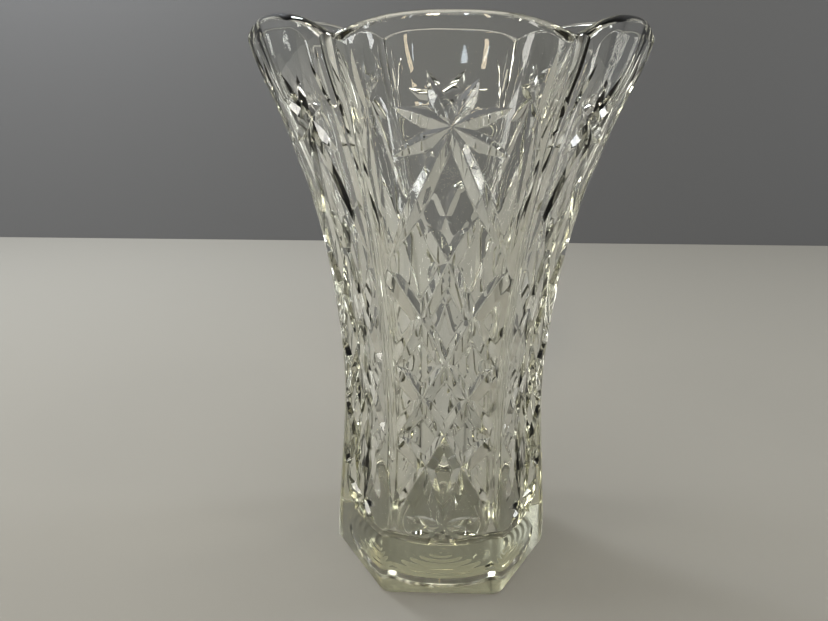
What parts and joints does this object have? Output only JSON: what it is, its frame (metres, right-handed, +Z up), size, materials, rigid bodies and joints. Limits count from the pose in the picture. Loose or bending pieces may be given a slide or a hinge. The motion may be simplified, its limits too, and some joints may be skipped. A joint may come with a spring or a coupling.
{
  "type": "pressed glass vase",
  "caption": "Tall clear pressed-glass vase, six-sided, narrow waist, flared lobed rim, star and lattice mitre cuts, thick solid foot.",
  "frame": {"origin": "middle of the footprint, on the surface the vase stands on", "axes": "+Z up along the vase's axis, -Y out of the middle of one panel, +X out of a corner"},
  "size_m": [0.1454, 0.1338, 0.216],
  "materials": {
    "clear_glass": "clear fire-polished pressed glass"
  },
  "bodies": {
    "root": {"vase_body": "clear_glass"}
  },
  "joints": []
}
